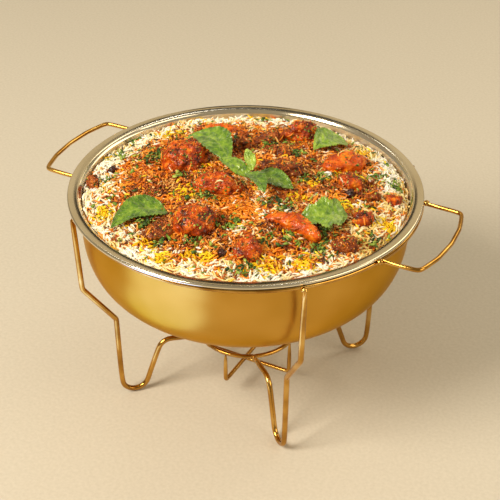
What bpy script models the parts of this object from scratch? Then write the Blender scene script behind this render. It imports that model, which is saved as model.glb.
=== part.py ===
"""Chicken biryani in a round steel bowl that hangs in a gilt wire stand.

Metres, +Z up. The origin lies on the table, below the centre of the stand.
The two handles point along +X and -X, and the four legs stand on the diagonals,
one of them a little out of true, as hand-welded wire is.
"""

import math

import bmesh
import bpy
from mathutils import Matrix, Vector, noise
from mathutils.bvhtree import BVHTree

MM = 0.001
GAP = 0.3 * MM            # air left between pieces that touch
SEGMENTS = 40             # sides of everything turned round the bowl's axis

# Bowl: a steel pan with a flat flange, gilt outside
RIM_RADIUS = 150 * MM
RIM_TOP = 196 * MM
BEAD_RADIUS = 1.6 * MM    # the rolled edge round the flange
FLANGE_INNER = 142 * MM
FLANGE_DROP = 1.2 * MM    # the flange dips towards the food
WALL_RADIUS = 140 * MM
WALL_TOP = 192.5 * MM
BOWL_DEPTH = 103 * MM     # from the wall's top to the underside
WALL_POWER = 2.4          # powers of the pan's curve: 2 and 2 give a half ellipse, more a flatter wall
BASE_POWER = 3.8          # and a flatter base
PAN_STEPS = 6
SHEET = 1.2 * MM
BOWL_SHIFT = -2.5 * MM    # the bowl hangs loose in the ring, pushed to one side

# Rice
RICE_EDGE = 189.5 * MM    # where the rice meets the wall
RICE_RISE = 17 * MM       # how far the heap's middle stands above that
RICE_UNEVEN = 2.6 * MM

# Stand
RING_WIRE = 2.0 * MM      # radii of the wires
LEG_WIRE = 2.4 * MM
THIN_WIRE = 1.9 * MM
RING_RADIUS = 145.8 * MM
RING_HEIGHT = RIM_TOP - 2 * BEAD_RADIUS - GAP - RING_WIRE
SHOULDER = (147 * MM, 120 * MM)      # radius and height where the leg turns inwards
KNEE = (119.5 * MM, 83 * MM)         # and where it turns down again
FOOT_OUTER = 118 * MM
FOOT_INNER = 93 * MM
ELBOW = (80 * MM, 52.5 * MM)         # where the returning wire bends to the burner ring
BURNER_RING_RADIUS = 42.3 * MM
BURNER_RING_HEIGHT = 47.5 * MM
CRADLE_HEIGHT = 12.4 * MM            # the lower of the two crossed wires
LEGS = ((45, 0), (135, 0), (225, 0), (313, 5))  # each leg's place round the stand and its own twist, degrees
HANDLE_LIFTS = (2.4 * MM, 0.0)       # how far each handle is welded above the middle of the ring's wire
HANDLE_HALF_WIDTH = 48 * MM
HANDLE_CORNER = 173 * MM
HANDLE_REACH = 181 * MM

PARTS = "chicken_biryani_in_chafing_bowl"


# ---------------------------------------------------------------- scene

def clear_scene():
    for obj in list(bpy.data.objects):
        bpy.data.objects.remove(obj, do_unlink=True)


def collection(name):
    made = bpy.data.collections.new(name)
    bpy.context.scene.collection.children.link(made)
    return made


def material(name, hex_colour, roughness, metallic=0.0):
    """A Principled material from a colour written as sRGB hex digits."""
    channels = [int(hex_colour[i:i + 2], 16) / 255 for i in (0, 2, 4)]
    linear = [c / 12.92 if c <= 0.04045 else ((c + 0.055) / 1.055) ** 2.4 for c in channels]
    made = bpy.data.materials.new(name)
    made.use_nodes = True
    shader = made.node_tree.nodes["Principled BSDF"]
    shader.inputs["Base Color"].default_value = (*linear, 1)
    shader.inputs["Roughness"].default_value = roughness
    shader.inputs["Metallic"].default_value = metallic
    return made


def add_object(name, data, group, surface):
    obj = bpy.data.objects.new(name, data)
    group.objects.link(obj)
    if surface is not None:
        data.materials.append(surface)
    return obj


def evaluated_mesh(obj):
    """The mesh of an object with its modifiers applied."""
    graph = bpy.context.evaluated_depsgraph_get()
    return bpy.data.meshes.new_from_object(obj.evaluated_get(graph))


def smooth(mesh, sharp_degrees=40):
    mesh.shade_smooth()
    mesh.set_sharp_from_angle(angle=math.radians(sharp_degrees))


# ---------------------------------------------------------------- turned pieces

def turned(name, profile, group, surface):
    """A profile of (radius, height) points turned once round Z by a Screw modifier."""
    mesh = bpy.data.meshes.new(name)
    edges = [(i, i + 1) for i in range(len(profile) - 1)]
    mesh.from_pydata([(r, 0, z) for r, z in profile], edges, [])
    obj = add_object(name, mesh, group, surface)
    screw = obj.modifiers.new("turn", "SCREW")
    screw.steps = screw.render_steps = SEGMENTS
    screw.use_merge_vertices = True
    screw.merge_threshold = 0.00005
    screw.use_smooth_shade = True
    return obj


def pan_curve(radius, top, depth):
    """The pan's wall from its top to the middle of its base: a quarter of a squared ellipse."""
    points = []
    for i in range(PAN_STEPS + 1):
        angle = math.radians(90) * i / PAN_STEPS
        r = radius * math.cos(angle) ** (2 / WALL_POWER) if i < PAN_STEPS else 0.0
        points.append((r, top - depth * math.sin(angle) ** (2 / BASE_POWER)))
    return points


def arc(centre, radius, start, end, steps):
    """Points on an arc in the (radius, height) plane, angles in degrees from outwards."""
    return [(centre[0] + radius * math.cos(math.radians(start + (end - start) * i / steps)),
             centre[1] + radius * math.sin(math.radians(start + (end - start) * i / steps)))
            for i in range(steps + 1)]


def make_bowl(group, surface):
    inner = pan_curve(WALL_RADIUS - SHEET, WALL_TOP, BOWL_DEPTH - SHEET)
    outer = pan_curve(WALL_RADIUS, WALL_TOP, BOWL_DEPTH)
    bead = (RIM_RADIUS - BEAD_RADIUS, RIM_TOP - BEAD_RADIUS)
    profile = list(reversed(inner))
    profile.append((FLANGE_INNER - 1.0 * MM, RIM_TOP - FLANGE_DROP - 0.3 * MM))
    profile.append((FLANGE_INNER + 0.8 * MM, RIM_TOP - FLANGE_DROP))
    profile += arc(bead, BEAD_RADIUS, 110, -110, 5)
    profile.append((FLANGE_INNER, RIM_TOP - FLANGE_DROP - SHEET))
    profile += outer
    bowl = turned("bowl", profile, group, surface)
    bowl.location.x = BOWL_SHIFT
    return bowl


def heap_height(x, y):
    """Height of the rice's top at a place on the table, as an even heap with low humps."""
    away = math.hypot(x - BOWL_SHIFT, y) / WALL_RADIUS
    even = RICE_EDGE + RICE_RISE * (1 - away ** 2)
    humps = noise.noise(Vector((x, y, 0)) / (30 * MM)) + 0.5 * noise.noise(Vector((x, y, 0.1)) / (14 * MM))
    return even + RICE_UNEVEN * humps


def make_rice(group, surface, cutters):
    """The heap: a turned body whose top is lifted to the humps, with a hollow under each topping."""
    clear = GAP + 0.1 * MM
    side = pan_curve(WALL_RADIUS - SHEET - clear, WALL_TOP, BOWL_DEPTH - SHEET - clear)
    side_top = RICE_EDGE - 9 * MM
    side = [(r, z) for r, z in side if z < side_top]
    edge_radius = side[0][0]
    rings = 7
    top = [(edge_radius * i / rings, RICE_EDGE) for i in range(rings + 1)]
    heap = turned("rice_body", top + side, cutters, None)
    body = evaluated_mesh(heap)
    bpy.data.objects.remove(heap, do_unlink=True)
    body.name = "rice"
    for vertex in body.vertices:
        if vertex.co.z > side_top:
            vertex.co.z = heap_height(vertex.co.x + BOWL_SHIFT, vertex.co.y)
    rice = add_object("rice", body, group, surface)
    rice.location.x = BOWL_SHIFT
    smooth(body, 60)
    hollows = rice.modifiers.new("hollows", "BOOLEAN")
    hollows.operation = "DIFFERENCE"
    hollows.operand_type = "COLLECTION"
    hollows.collection = cutters
    hollows.solver = "EXACT"
    bpy.context.view_layer.update()
    hollowed = evaluated_mesh(rice)
    rice.modifiers.clear()
    rice.data = hollowed
    return rice


# ---------------------------------------------------------------- wires

def filleted(corners, steps=4):
    """A path of (point, bend radius) corners as points, with each bend an arc."""
    path = [Vector(corners[0][0])]
    for (before, _), (corner, radius), (after, _) in zip(corners, corners[1:], corners[2:]):
        corner = Vector(corner)
        to_before = (Vector(before) - corner).normalized()
        to_after = (Vector(after) - corner).normalized()
        half = to_before.angle(to_after) / 2
        reach = radius / math.tan(half)
        centre = corner + (to_before + to_after).normalized() * (radius / math.sin(half))
        start = corner + to_before * reach - centre
        end = corner + to_after * reach - centre
        for i in range(steps + 1):
            path.append(centre + start.slerp(end, i / steps).normalized() * radius)
    path.append(Vector(corners[-1][0]))
    return path


def wire(name, path, radius, group, surface, closed=False, sides=8):
    """A round wire along a path of points."""
    curve = bpy.data.curves.new(name, "CURVE")
    curve.dimensions = "3D"
    curve.bevel_depth = radius
    curve.bevel_resolution = (sides - 4) // 2
    curve.use_fill_caps = not closed
    curve.render_resolution_u = 0
    spline = curve.splines.new("POLY")
    spline.points.add(len(path) - 1)
    for point, place in zip(spline.points, path):
        point.co = (*place, 1)
    spline.use_cyclic_u = closed
    spline.use_smooth = True
    return add_object(name, curve, group, surface)


def circle_path(radius, height, count):
    return [Vector((radius * math.cos(math.tau * i / count), radius * math.sin(math.tau * i / count), height))
            for i in range(count)]


def leg_path(twist):
    """The leg in the XZ plane: down from the top ring, round the foot and up to the burner ring.

    A leg twisted about its foot passes beside the stand's axis, so its ends are moved along it
    until they meet the two rings.
    """
    def meeting(radius):
        aside = FOOT_OUTER * math.sin(twist)
        return FOOT_OUTER * (1 - math.cos(twist)) + math.sqrt(radius ** 2 - aside ** 2)

    bend = (FOOT_OUTER - FOOT_INNER) / 2
    foot_middle = (FOOT_OUTER + FOOT_INNER) / 2
    foot_height = LEG_WIRE + bend
    top = RING_HEIGHT + RING_WIRE
    slant = LEG_WIRE * FOOT_OUTER * math.sin(twist) / BURNER_RING_RADIUS
    ring_side = meeting(RING_RADIUS + RING_WIRE + LEG_WIRE + GAP + 0.1 * MM)
    burner_side = meeting(BURNER_RING_RADIUS + THIN_WIRE + GAP + 0.2 * MM + slant)
    down = filleted([((ring_side, 0, top), 0),
                     ((SHOULDER[0], 0, SHOULDER[1]), 10 * MM),
                     ((KNEE[0], 0, KNEE[1]), 8 * MM),
                     ((FOOT_OUTER, 0, foot_height), 0)], 3)
    foot = [Vector((foot_middle + bend * math.cos(math.radians(-30 * i)), 0,
                    foot_height + bend * math.sin(math.radians(-30 * i)))) for i in range(1, 6)]
    back = filleted([((FOOT_INNER, 0, foot_height), 0),
                     ((ELBOW[0], 0, ELBOW[1]), 12 * MM),
                     ((burner_side, 0, BURNER_RING_HEIGHT + 1 * MM), 0)], 4)
    return down + foot + back


def make_stand(group, gilt):
    wire("top_ring", circle_path(RING_RADIUS, RING_HEIGHT, SEGMENTS), RING_WIRE, group, gilt, True, 6)
    wire("burner_ring", circle_path(BURNER_RING_RADIUS, BURNER_RING_HEIGHT, 24), THIN_WIRE, group, gilt, True, 6)
    for number, (place, twist) in enumerate(LEGS):
        leg = wire(f"leg_{number + 1}", leg_path(math.radians(twist)), LEG_WIRE, group, gilt)
        foot = Matrix.Translation((FOOT_OUTER, 0, 0))
        twisted = foot @ Matrix.Rotation(math.radians(twist), 4, "Z") @ foot.inverted()
        leg.matrix_world = Matrix.Rotation(math.radians(place), 4, "Z") @ twisted
    for number in range(2):
        height = CRADLE_HEIGHT + number * (2 * THIN_WIRE + GAP)
        end = BURNER_RING_HEIGHT - THIN_WIRE - GAP
        corners = [((-BURNER_RING_RADIUS, 0, end), 0), ((-BURNER_RING_RADIUS, 0, height), 3.5 * MM),
                   ((BURNER_RING_RADIUS, 0, height), 3.5 * MM), ((BURNER_RING_RADIUS, 0, end), 0)]
        cradle = wire(f"burner_wire_{number + 1}", filleted(corners, 3), THIN_WIRE, group, gilt)
        cradle.rotation_euler.z = math.radians(90 * number)


def handle_path():
    """A handle at the height of the top ring: a side bar, the bowed outer bar and the other side bar."""
    bow = HANDLE_REACH - HANDLE_CORNER
    bow_radius = (HANDLE_HALF_WIDTH ** 2 + bow ** 2) / (2 * bow)
    inner_side = HANDLE_HALF_WIDTH - THIN_WIRE
    start = math.sqrt((RING_RADIUS + RING_WIRE + GAP + 0.2 * MM) ** 2 - inner_side ** 2)
    corners = [((start, -HANDLE_HALF_WIDTH, RING_HEIGHT), 0),
               ((HANDLE_CORNER, -HANDLE_HALF_WIDTH, RING_HEIGHT), 6 * MM)]
    for part in (-0.5, 0.0, 0.5):
        y = part * HANDLE_HALF_WIDTH
        x = HANDLE_REACH - bow_radius + math.sqrt(bow_radius ** 2 - y ** 2)
        corners.append(((x, y, RING_HEIGHT), 30 * MM))
    corners.append(((HANDLE_CORNER, HANDLE_HALF_WIDTH, RING_HEIGHT), 6 * MM))
    corners.append(((start, HANDLE_HALF_WIDTH, RING_HEIGHT), 0))
    return filleted(corners, 2)


def make_handles(group, gilt):
    for number, lift in enumerate(HANDLE_LIFTS):
        handle = wire(f"handle_{number + 1}", handle_path(), THIN_WIRE, group, gilt)
        handle.location.z = lift
        handle.rotation_euler.z = math.radians(180 * number)


# ---------------------------------------------------------------- food on the rice

# Chicken: place x and y, length, width, height, turn in degrees, bow of its long axis, colour
CHICKEN = {
    "chicken_big_back": (-59, 1, 41, 33, 27, 50, 0, "red"),
    "chicken_middle": (-13, -29, 40, 25, 17, 17, 0, "red"),
    "chicken_front_left": (-6, -81, 35, 31, 22, -10, 0, "red"),
    "chicken_front": (47, -91, 25, 22, 16, 8, 0, "red"),
    "chicken_back": (3, 91, 33, 22, 24, 45, 0, "red"),
    "chicken_back_small": (-16, 66, 25, 14, 12, 27, 0, "brown"),
    "chicken_back_dark": (6, 50, 19, 12, 11, 30, 0, "brown"),
    "chicken_back_right": (59, 64, 40, 21, 14, 50, 0, "orange"),
    "chicken_under_leaf": (20, 19, 38, 15, 13, 24, 0, "brown"),
    "chicken_right": (78, 35, 25, 16, 14, 20, 0, "red"),
    "chicken_right_small": (101, 28, 14, 12, 10, 10, 0, "brown"),
    "chicken_right_edge": (116, 37, 17, 13, 10, 33, 0, "red"),
    "chicken_long": (64, -51, 55, 13, 13, -7, 8, "orange"),
    "chicken_front_right": (109, -45, 24, 16, 11, 45, 0, "brown"),
    "chicken_left_edge": (-120, -54, 13, 12, 10, 40, 0, "brown"),
    "chicken_centre_back": (-31, 42, 21, 17, 14, 30, 0, "brown"),
    "chicken_far_left": (-65, 70, 32, 12, 9, 33, 3, "orange"),
    "chicken_crusted": (-28, -101, 23, 18, 11, 12, 0, "brown"),
    "chicken_right_front": (108, -9, 21, 13, 10, 50, 0, "red"),
}
SUNK = 0.42               # share of a piece's height that lies in the rice
HOLLOW_GAP = 0.75 * MM    # clearance of the hollow that a piece lies in
SMALL_LUMP = 26 * MM      # pieces shorter than this have fewer sides

# Dark whole spices: place x and y, diameter
SPICES = {"spice_left": (-117, -29, 8), "spice_front": (30, -102, 8), "spice_right": (84, 21, 9)}

# Mint: base x, y, tip x, y, rise of the tip, width, bow to the left, arch, turn that lifts the left side
MINT = {
    "mint_big": (-17, -1, -70, 23, 4, 30, -7, 6, -12),
    "mint_oval": (8, 3, 42, -1, -3, 20, -3, 4, 10),
    "mint_folded": (8, -14, -26, -2, 3, 15, 2, 4, -10),
    "mint_lower": (6, -14, 28, -37, 0, 18, 2, 4, 4),
    "mint_left": (-43, -70, -64, -115, 0, 22, -6, 5, -6),
    "mint_round": (98, -17, 66, -34, 0, 34, 7, 5, -18),
    "mint_back": (28, 69, 44, 105, 0, 22, 3, 4, 18),
    "mint_upright": (10, -13, -1, -1, 11, 10, 0, 2, 0),
}
LEAF_THICK = 0.9 * MM


def lump_point(way, size, seed, bow):
    """Where a chunk's surface lies in a direction: a stretched, slightly boxy ball, dented by noise."""
    uneven = 1 + 0.16 * noise.noise(way * 1.4 + Vector((seed * 7.3, 0, 0)))
    boxy = 1 / max(abs(way.x) ** 3 + abs(way.y) ** 3 + abs(way.z) ** 3, 0.45) ** (1 / 3)
    reach = uneven * min(0.5 + 0.5 * boxy, 1.12)
    x, y, z = (way[i] * size[i] / 2 * reach for i in range(3))
    return Vector((x, y + bow * (1 - (2 * x / size[0]) ** 2), z))


def lump(name, size, seed, bow, group, surface, hollow=0.0):
    """A chunk, or with a clearance the body that hollows the rice for it, open straight upwards."""
    around, rings = (10, 6) if size[0] > SMALL_LUMP else (8, 5)
    size = [length + 2 * hollow for length in size]
    shape = bmesh.new()
    bmesh.ops.create_uvsphere(shape, u_segments=around, v_segments=rings, radius=1)
    for vertex in shape.verts:
        way = vertex.co.normalized()
        place = lump_point(way, size, seed, bow)
        level = Vector((way.x, way.y, 0))
        if hollow and way.z > 0 and level.length > 0.01:
            place.xy = lump_point(level.normalized(), size, seed, bow).xy
        vertex.co = place
    bmesh.ops.triangulate(shape, faces=shape.faces, quad_method="FIXED")
    mesh = bpy.data.meshes.new(name)
    shape.to_mesh(mesh)
    shape.free()
    smooth(mesh, 60)
    return add_object(name, mesh, group, surface)


def make_lumps(group, cutters, colours):
    """Each chunk of chicken and each spice, and the slightly larger copy that hollows the rice."""
    rows = [(name, x, y, (long, wide, high), turn, bow, colours[tone])
            for name, (x, y, long, wide, high, turn, bow, tone) in CHICKEN.items()]
    rows += [(name, x, y, (wide, wide, wide), 0, 0, colours["spice"]) for name, (x, y, wide) in SPICES.items()]
    lumps = []
    for seed, (name, x, y, size, turn, bow, surface) in enumerate(rows):
        size = [length * MM for length in size]
        middle = heap_height(x * MM, y * MM) + size[2] * (0.5 - SUNK)
        place = Matrix.Translation((x * MM, y * MM, middle)) @ Matrix.Rotation(math.radians(turn), 4, "Z")
        piece = lump(name, size, seed, bow * MM, group, surface)
        hollow = lump(f"cut_{name}", size, seed, bow * MM, cutters, None, HOLLOW_GAP)
        hollow.hide_render = True
        hollow.display_type = "WIRE"
        for obj in (piece, hollow):
            obj.matrix_world = place
        lumps.append(piece)
    return lumps


def leaf_half_width(along):
    """Half the leaf's width as a share of its widest, from the stalk at 0 to the tip at 1."""
    return math.sin(math.pi * along ** 0.85) ** 0.8 if 0 < along < 1 else 0.0


def make_leaf(name, row, group, surface):
    """A thin leaf whose middle line arches from base to tip, with its sides folded up a little."""
    base_x, base_y, tip_x, tip_y, rise, width, bow, arch, turn = row
    along_x = Vector((tip_x - base_x, tip_y - base_y)) * MM
    length = along_x.length
    across, lengthwise = 2, 7
    shape = bmesh.new()
    bmesh.ops.create_grid(shape, x_segments=lengthwise, y_segments=across, size=1)
    tilt = math.tan(math.radians(turn))
    for vertex in shape.verts:
        u = (vertex.co.x + 1) / 2
        half = max(width * MM / 2 * leaf_half_width(u), 0.7 * MM)
        side = vertex.co.y * half
        lift = arch * MM * math.sin(math.pi * u) + rise * MM * u
        fold = 0.12 * width * MM * vertex.co.y ** 2 * leaf_half_width(u)
        vertex.co = Vector((u * length, side + bow * MM * math.sin(math.pi * u), lift + fold + side * tilt))
    mesh = bpy.data.meshes.new(name)
    shape.to_mesh(mesh)
    shape.free()
    smooth(mesh, 60)
    leaf = add_object(name, mesh, group, surface)
    thick = leaf.modifiers.new("thickness", "SOLIDIFY")
    thick.thickness = LEAF_THICK
    thick.offset = 1
    leaf.location = (base_x * MM, base_y * MM, RIM_TOP + 60 * MM)
    leaf.rotation_euler.z = math.atan2(along_x.y, along_x.x)
    bpy.context.view_layer.update()
    return leaf


def world_tree(obj):
    mesh = evaluated_mesh(obj)
    points = [obj.matrix_world @ vertex.co for vertex in mesh.vertices]
    tree = BVHTree.FromPolygons(points, [face.vertices for face in mesh.polygons])
    bpy.data.meshes.remove(mesh)
    return points, tree


def lower_onto(leaf, supports):
    """Lowers a leaf straight down until it nearly touches what lies below it."""
    points, tree = world_tree(leaf)
    down = Vector((0, 0, -1))
    room = []
    for below_points, below in supports:
        for point in points:
            hit = below.ray_cast(point, down)[0]
            if hit:
                room.append(point.z - hit.z)
        for point in below_points:
            hit = tree.ray_cast(point, -down)[0]
            if hit:
                room.append(hit.z - point.z)
    leaf.location.z -= min(room) - 3 * GAP
    bpy.context.view_layer.update()


def make_mint(group, surface, supports):
    piled = [world_tree(obj) for obj in supports]
    for name, row in MINT.items():
        leaf = make_leaf(name, row, group, surface)
        lower_onto(leaf, piled)
        piled.append(world_tree(leaf))


# ---------------------------------------------------------------- the whole

def main():
    clear_scene()
    parts = collection(PARTS)
    cutters = collection("cutters")
    gilt = material("gilt_wire", "C9953F", 0.22, 1.0)
    steel = material("gilt_steel_bowl", "C8963C", 0.32, 1.0)
    rice_white = material("cooked_rice", "E9D9B4", 0.55)
    colours = {
        "red": material("chicken_red", "C4421C", 0.5),
        "orange": material("chicken_orange", "E0661F", 0.5),
        "brown": material("chicken_browned", "7E3318", 0.55),
        "spice": material("dark_spice", "3A1A14", 0.5),
    }
    green = material("mint_leaf", "5F8F35", 0.45)

    make_bowl(parts, steel)
    make_stand(parts, gilt)
    make_handles(parts, gilt)
    lumps = make_lumps(parts, cutters, colours)
    bpy.context.view_layer.update()
    rice = make_rice(parts, rice_white, cutters)
    make_mint(parts, green, [rice] + lumps)


main()
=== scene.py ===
# %% [markdown]
# # Chicken biryani in a steel bowl on a gilt wire stand
#
# The dish is a shallow steel bowl, gilt on the outside, that hangs by its flange in a ring of
# bent wire. It is heaped with long-grain rice, pieces of tandoori chicken, herbs and mint.
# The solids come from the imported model, which gives every place and size. The lesson dresses
# them: it turns the bowl finer, rounds the wires, covers a core of rice with thousands of
# loose grains, roughens the chicken and cuts real leaves.

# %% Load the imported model
import math
from functools import partial

import bpy
import numpy as np
from mathutils import Matrix, Vector, noise
from mathutils.bvhtree import BVHTree


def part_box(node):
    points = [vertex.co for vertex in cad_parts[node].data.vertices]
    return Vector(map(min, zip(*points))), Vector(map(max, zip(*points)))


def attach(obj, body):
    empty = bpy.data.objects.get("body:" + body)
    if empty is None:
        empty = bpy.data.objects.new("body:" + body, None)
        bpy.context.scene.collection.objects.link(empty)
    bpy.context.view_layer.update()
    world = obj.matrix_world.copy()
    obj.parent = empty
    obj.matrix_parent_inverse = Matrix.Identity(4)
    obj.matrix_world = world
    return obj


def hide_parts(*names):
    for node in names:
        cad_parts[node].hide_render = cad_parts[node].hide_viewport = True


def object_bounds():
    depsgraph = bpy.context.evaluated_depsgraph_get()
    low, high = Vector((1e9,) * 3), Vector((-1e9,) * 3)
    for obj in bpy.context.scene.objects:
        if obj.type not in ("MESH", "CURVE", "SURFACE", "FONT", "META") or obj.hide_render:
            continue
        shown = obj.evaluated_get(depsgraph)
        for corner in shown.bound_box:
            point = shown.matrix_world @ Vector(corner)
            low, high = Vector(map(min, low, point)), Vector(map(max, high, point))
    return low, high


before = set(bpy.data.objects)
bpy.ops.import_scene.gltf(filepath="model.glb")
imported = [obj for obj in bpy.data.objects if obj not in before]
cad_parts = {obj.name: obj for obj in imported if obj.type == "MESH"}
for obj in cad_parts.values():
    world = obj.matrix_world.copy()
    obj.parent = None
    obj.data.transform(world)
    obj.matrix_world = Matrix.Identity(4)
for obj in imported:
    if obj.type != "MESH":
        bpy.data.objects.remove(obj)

MM = 0.001
cad_low, cad_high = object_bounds()
chance = np.random.default_rng(7)
print(f"model: {len(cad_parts)} nodes, {(cad_high - cad_low) * 1000} mm")

# %% [markdown]
# ## One thing at a time
#
# Blender's operators act on whatever is selected, and the solids come in selected. So each
# step first picks one object, and before a new one is added nothing is left selected.

# %% Pick or add one object
def pick(obj):
    """Leaves one object selected and active, so that an operator acts on it alone."""
    bpy.ops.object.select_all(action="DESELECT")
    obj.select_set(True)
    bpy.context.view_layer.objects.active = obj


def added(operator, name, **settings):
    """What one of Blender's add operators makes, with nothing else selected."""
    bpy.ops.object.select_all(action="DESELECT")
    operator(**settings)
    made = bpy.context.object
    made.name = name
    return made


print(f"{len(bpy.context.selected_objects)} objects selected at the start")

# %% [markdown]
# ## Small tools for materials
#
# Colours are written as the sRGB hex digits that a colour picker shows. Blender mixes light
# in linear values, so one function turns them. Another adds a node with its settings and its
# links in one line; a node given as an input stands for its output. Pattern sizes are given
# in millimetres: a noise of scale 1/s has features about s metres across, because object
# coordinates are metres.

# %% Colours and nodes
def linear(hex_colour):
    channels = [int(hex_colour[i:i + 2], 16) / 255 for i in (0, 2, 4)]
    return [c / 12.92 if c <= 0.04045 else ((c + 0.055) / 1.055) ** 2.4 for c in channels] + [1]


def out_of(node):
    """The output that is meant: a mix's colour, an attribute's number, the first of any other node."""
    return node.outputs[2 if node.bl_idname in ("ShaderNodeMix", "ShaderNodeAttribute") else 0]


def add_node(tree, kind, inputs=None, stops=None, to=None, **settings):
    """Adds a node, sets its properties and inputs, fills a colour ramp and links it to the shader."""
    node = tree.nodes.new("ShaderNode" + kind)
    for key, value in settings.items():
        setattr(node, key, value)
    for key, value in (inputs or {}).items():
        if isinstance(value, bpy.types.Node):
            value = out_of(value)
        if isinstance(value, bpy.types.NodeSocket):
            tree.links.new(value, node.inputs[key])
        else:
            node.inputs[key].default_value = value
    if stops:
        ramp = node.color_ramp
        while len(ramp.elements) < len(stops):
            ramp.elements.new(0.5)
        for element, (place, colour) in zip(ramp.elements, stops):
            element.position = place
            element.color = linear(colour)
    if to:
        tree.links.new(out_of(node), tree.nodes["Principled BSDF"].inputs[to])
    return node


def new_material(name, **sockets):
    """A Principled material with its even values set, what adds a node to it, and its object coordinates."""
    made = bpy.data.materials.new(name)
    made.use_nodes = True
    tree = made.node_tree
    for key, value in sockets.items():
        tree.nodes["Principled BSDF"].inputs[key.replace("_", " ")].default_value = value
    add = partial(add_node, tree)
    return made, add, add("TexCoord").outputs["Object"]


def scale_of(size_mm):
    """The scale of a pattern whose features are this many millimetres across."""
    return 1 / (size_mm * MM)


print(f"middle grey is {linear('808080')[0]:.3f} in linear light")

# %% [markdown]
# ## The camera
#
# The camera looks down at the dish from the front right. A long lens keeps the ellipse of
# the rim calm, as in a product picture. The view is built from a place, a target and a hint
# of roll.

# %% Camera
CAMERA_PLACE = Vector((433.1, -831.9, 747.9)) * MM
CAMERA_TARGET = Vector((1.4, 0.8, 131.4)) * MM
CAMERA_LENS = 92.9
CAMERA_ROLL = 0.34

camera = added(bpy.ops.object.camera_add, "camera", location=CAMERA_PLACE)
camera.data.lens = CAMERA_LENS
camera.data.sensor_width = 36
look = (CAMERA_TARGET - CAMERA_PLACE).to_track_quat("-Z", "Y")
camera.rotation_euler = (look.to_matrix() @ Matrix.Rotation(math.radians(CAMERA_ROLL), 3, "Z")).to_euler()
bpy.context.scene.camera = camera
print(f"camera {(CAMERA_TARGET - CAMERA_PLACE).length:.3f} m from the dish")

# %% [markdown]
# ## Metals
#
# The stand is mild steel wire, bent, welded and brass plated. Plating is a mirror with a
# warm colour, a little uneven along the wire where it was handled. The bowl's outside is
# stainless steel with a gold coating over a fine brushed finish: the brushing spreads each
# highlight into a soft glow. Its flange and inside are plain polished steel.

# %% Metals with one pattern
def patterned(name, size_mm, detail, stops, **sockets):
    """A material coloured in tones by one noise, with what adds a node to it and that noise."""
    made, add, here = new_material(name, **sockets)
    pattern = add("TexNoise", {"Vector": here, "Scale": scale_of(size_mm), "Detail": detail})
    add("ValToRGB", {"Fac": pattern}, stops=stops, to="Base Color")
    return made, add, pattern


# Each metal has a noise of one size and detail, its tones and its range of roughness.
METALS = {
    # mild steel wire, brass plated: a warm mirror, uneven where it was handled
    "brass_plated_wire": (22, 3.0, [(0.3, "9C6E2E"), (0.55, "C89848"), (0.75, "E2BC70")], (0.10, 0.20)),
    # the flange is polished stainless steel: a clear mirror with faint smears
    "polished_stainless_steel": (45, 1.0, [(0.3, "DACFB6"), (0.7, "E8DFCA")], (0.12, 0.17)),
    # the inside wall keeps the scratches of scrubbing and mirrors the food only as a pale blur
    "satin_stainless_steel": (4, 4.0, [(0.3, "E6D8C6"), (0.7, "F6ECDE")], (0.38, 0.50)),
    # under the rolled edge the sheet closes on itself, and dirt that stays there draws a dark line
    # painted shade: the underside of the rolled edge is coloured dark for the shadow that lies under it
    "dull_steel_seam": (6, 3.0, [(0.35, "2C241A"), (0.65, "54462E")], (0.35, 0.55)),
}
metals = []
for name, (size_mm, detail, stops, (smoothest, roughest)) in METALS.items():
    metal, add, pattern = patterned(name, size_mm, detail, stops, Metallic=1.0)
    add("MapRange", {"Value": pattern, "To Min": smoothest, "To Max": roughest}, to="Roughness")
    metals.append(metal)
gilt_wire, bright_steel, satin_steel, painted_shade_steel = metals
print(f"{len(metals)} metals")

# %% Gold-coated steel, brushed
# Brushing on a turned bowl runs round its axis, so the pattern is stretched round. Real brush
# lines are about 0.1 mm apart, too fine to show; they are drawn at 0.8 mm. The tint keeps the
# metal golden where it is seen at a slant.
gold_coat, add, here = new_material("gold_coated_steel", Metallic=1.0, Specular_Tint=linear("F4DCAE"))
squeezed = add("Mapping", {"Vector": here, "Scale": (0.05, 0.05, 1.0)})
lines = add("TexNoise", {"Vector": squeezed, "Scale": scale_of(0.8), "Detail": 2.0})
clouds = add("TexNoise", {"Vector": here, "Scale": scale_of(60), "Detail": 2.0})
add("ValToRGB", {"Fac": clouds}, stops=[(0.3, "B98930"), (0.7, "CC9C46")], to="Base Color")
add("MapRange", {"Value": lines, "To Min": 0.26, "To Max": 0.34}, to="Roughness")
add("Bump", {"Height": lines, "Strength": 0.06, "Distance": 0.2 * MM}, to="Normal")
print(f"{gold_coat.name}: {len(gold_coat.node_tree.nodes)} nodes")

# %% [markdown]
# ## The bowl
#
# A real bowl like this is spun: a disc of sheet steel is pressed over a turning former, and
# its edge is rolled back on itself. Here a chain of points, half of the bowl's section, is
# spun round the axis in the same way. The wall is a quarter of a squared ellipse, flatter
# below and steeper at the side than a plain one.

# %% Edit a whole mesh
def edit_all(obj, *steps):
    """Runs operators on the whole mesh of a piece, in edit mode."""
    pick(obj)
    bpy.ops.object.mode_set(mode="EDIT")
    bpy.ops.mesh.select_all(action="SELECT")
    for step in steps:
        step()
    bpy.ops.object.mode_set(mode="OBJECT")


def weld(obj, distance):
    """Merges points that lie together."""
    edit_all(obj, lambda: bpy.ops.mesh.remove_doubles(threshold=distance))

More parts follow.
